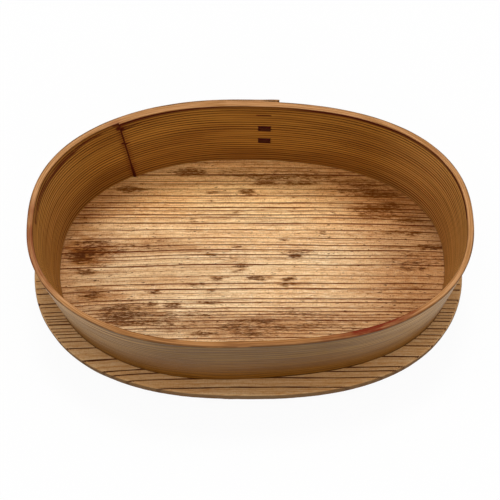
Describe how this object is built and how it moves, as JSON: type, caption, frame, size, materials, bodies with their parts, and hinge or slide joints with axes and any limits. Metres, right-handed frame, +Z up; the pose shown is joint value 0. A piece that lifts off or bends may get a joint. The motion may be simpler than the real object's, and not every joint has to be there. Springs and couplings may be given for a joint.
{
  "type": "bentwood lunch box",
  "caption": "Open oval bentwood food box: a thin bent wooden wall with a bark-laced overlap, standing in a groove of an overhanging oval board and pegged from beneath.",
  "frame": {"origin": "under the middle of the board, on the surface that the box stands on", "axes": "+Z up out of the open mouth, +X along the oval's length, +Y to the back wall, where the band's ends overlap"},
  "size_m": [0.2166, 0.1366, 0.07],
  "materials": {
    "board_wood": "worn satin oil, open softwood grain along X",
    "band_wood": "worn satin oil, fine straight grain along the strip",
    "bark": "glossy dark red-brown cherry bark",
    "peg_wood": "plain split bamboo"
  },
  "bodies": {
    "root": {"base_board": "board_wood", "side_band": "band_wood", "bark_lacing": "bark", "peg_1": "peg_wood", "peg_2": "peg_wood", "peg_3": "peg_wood", "peg_4": "peg_wood", "peg_5": "peg_wood", "peg_6": "peg_wood", "peg_7": "peg_wood", "peg_8": "peg_wood", "peg_9": "peg_wood", "peg_10": "peg_wood"}
  },
  "joints": []
}
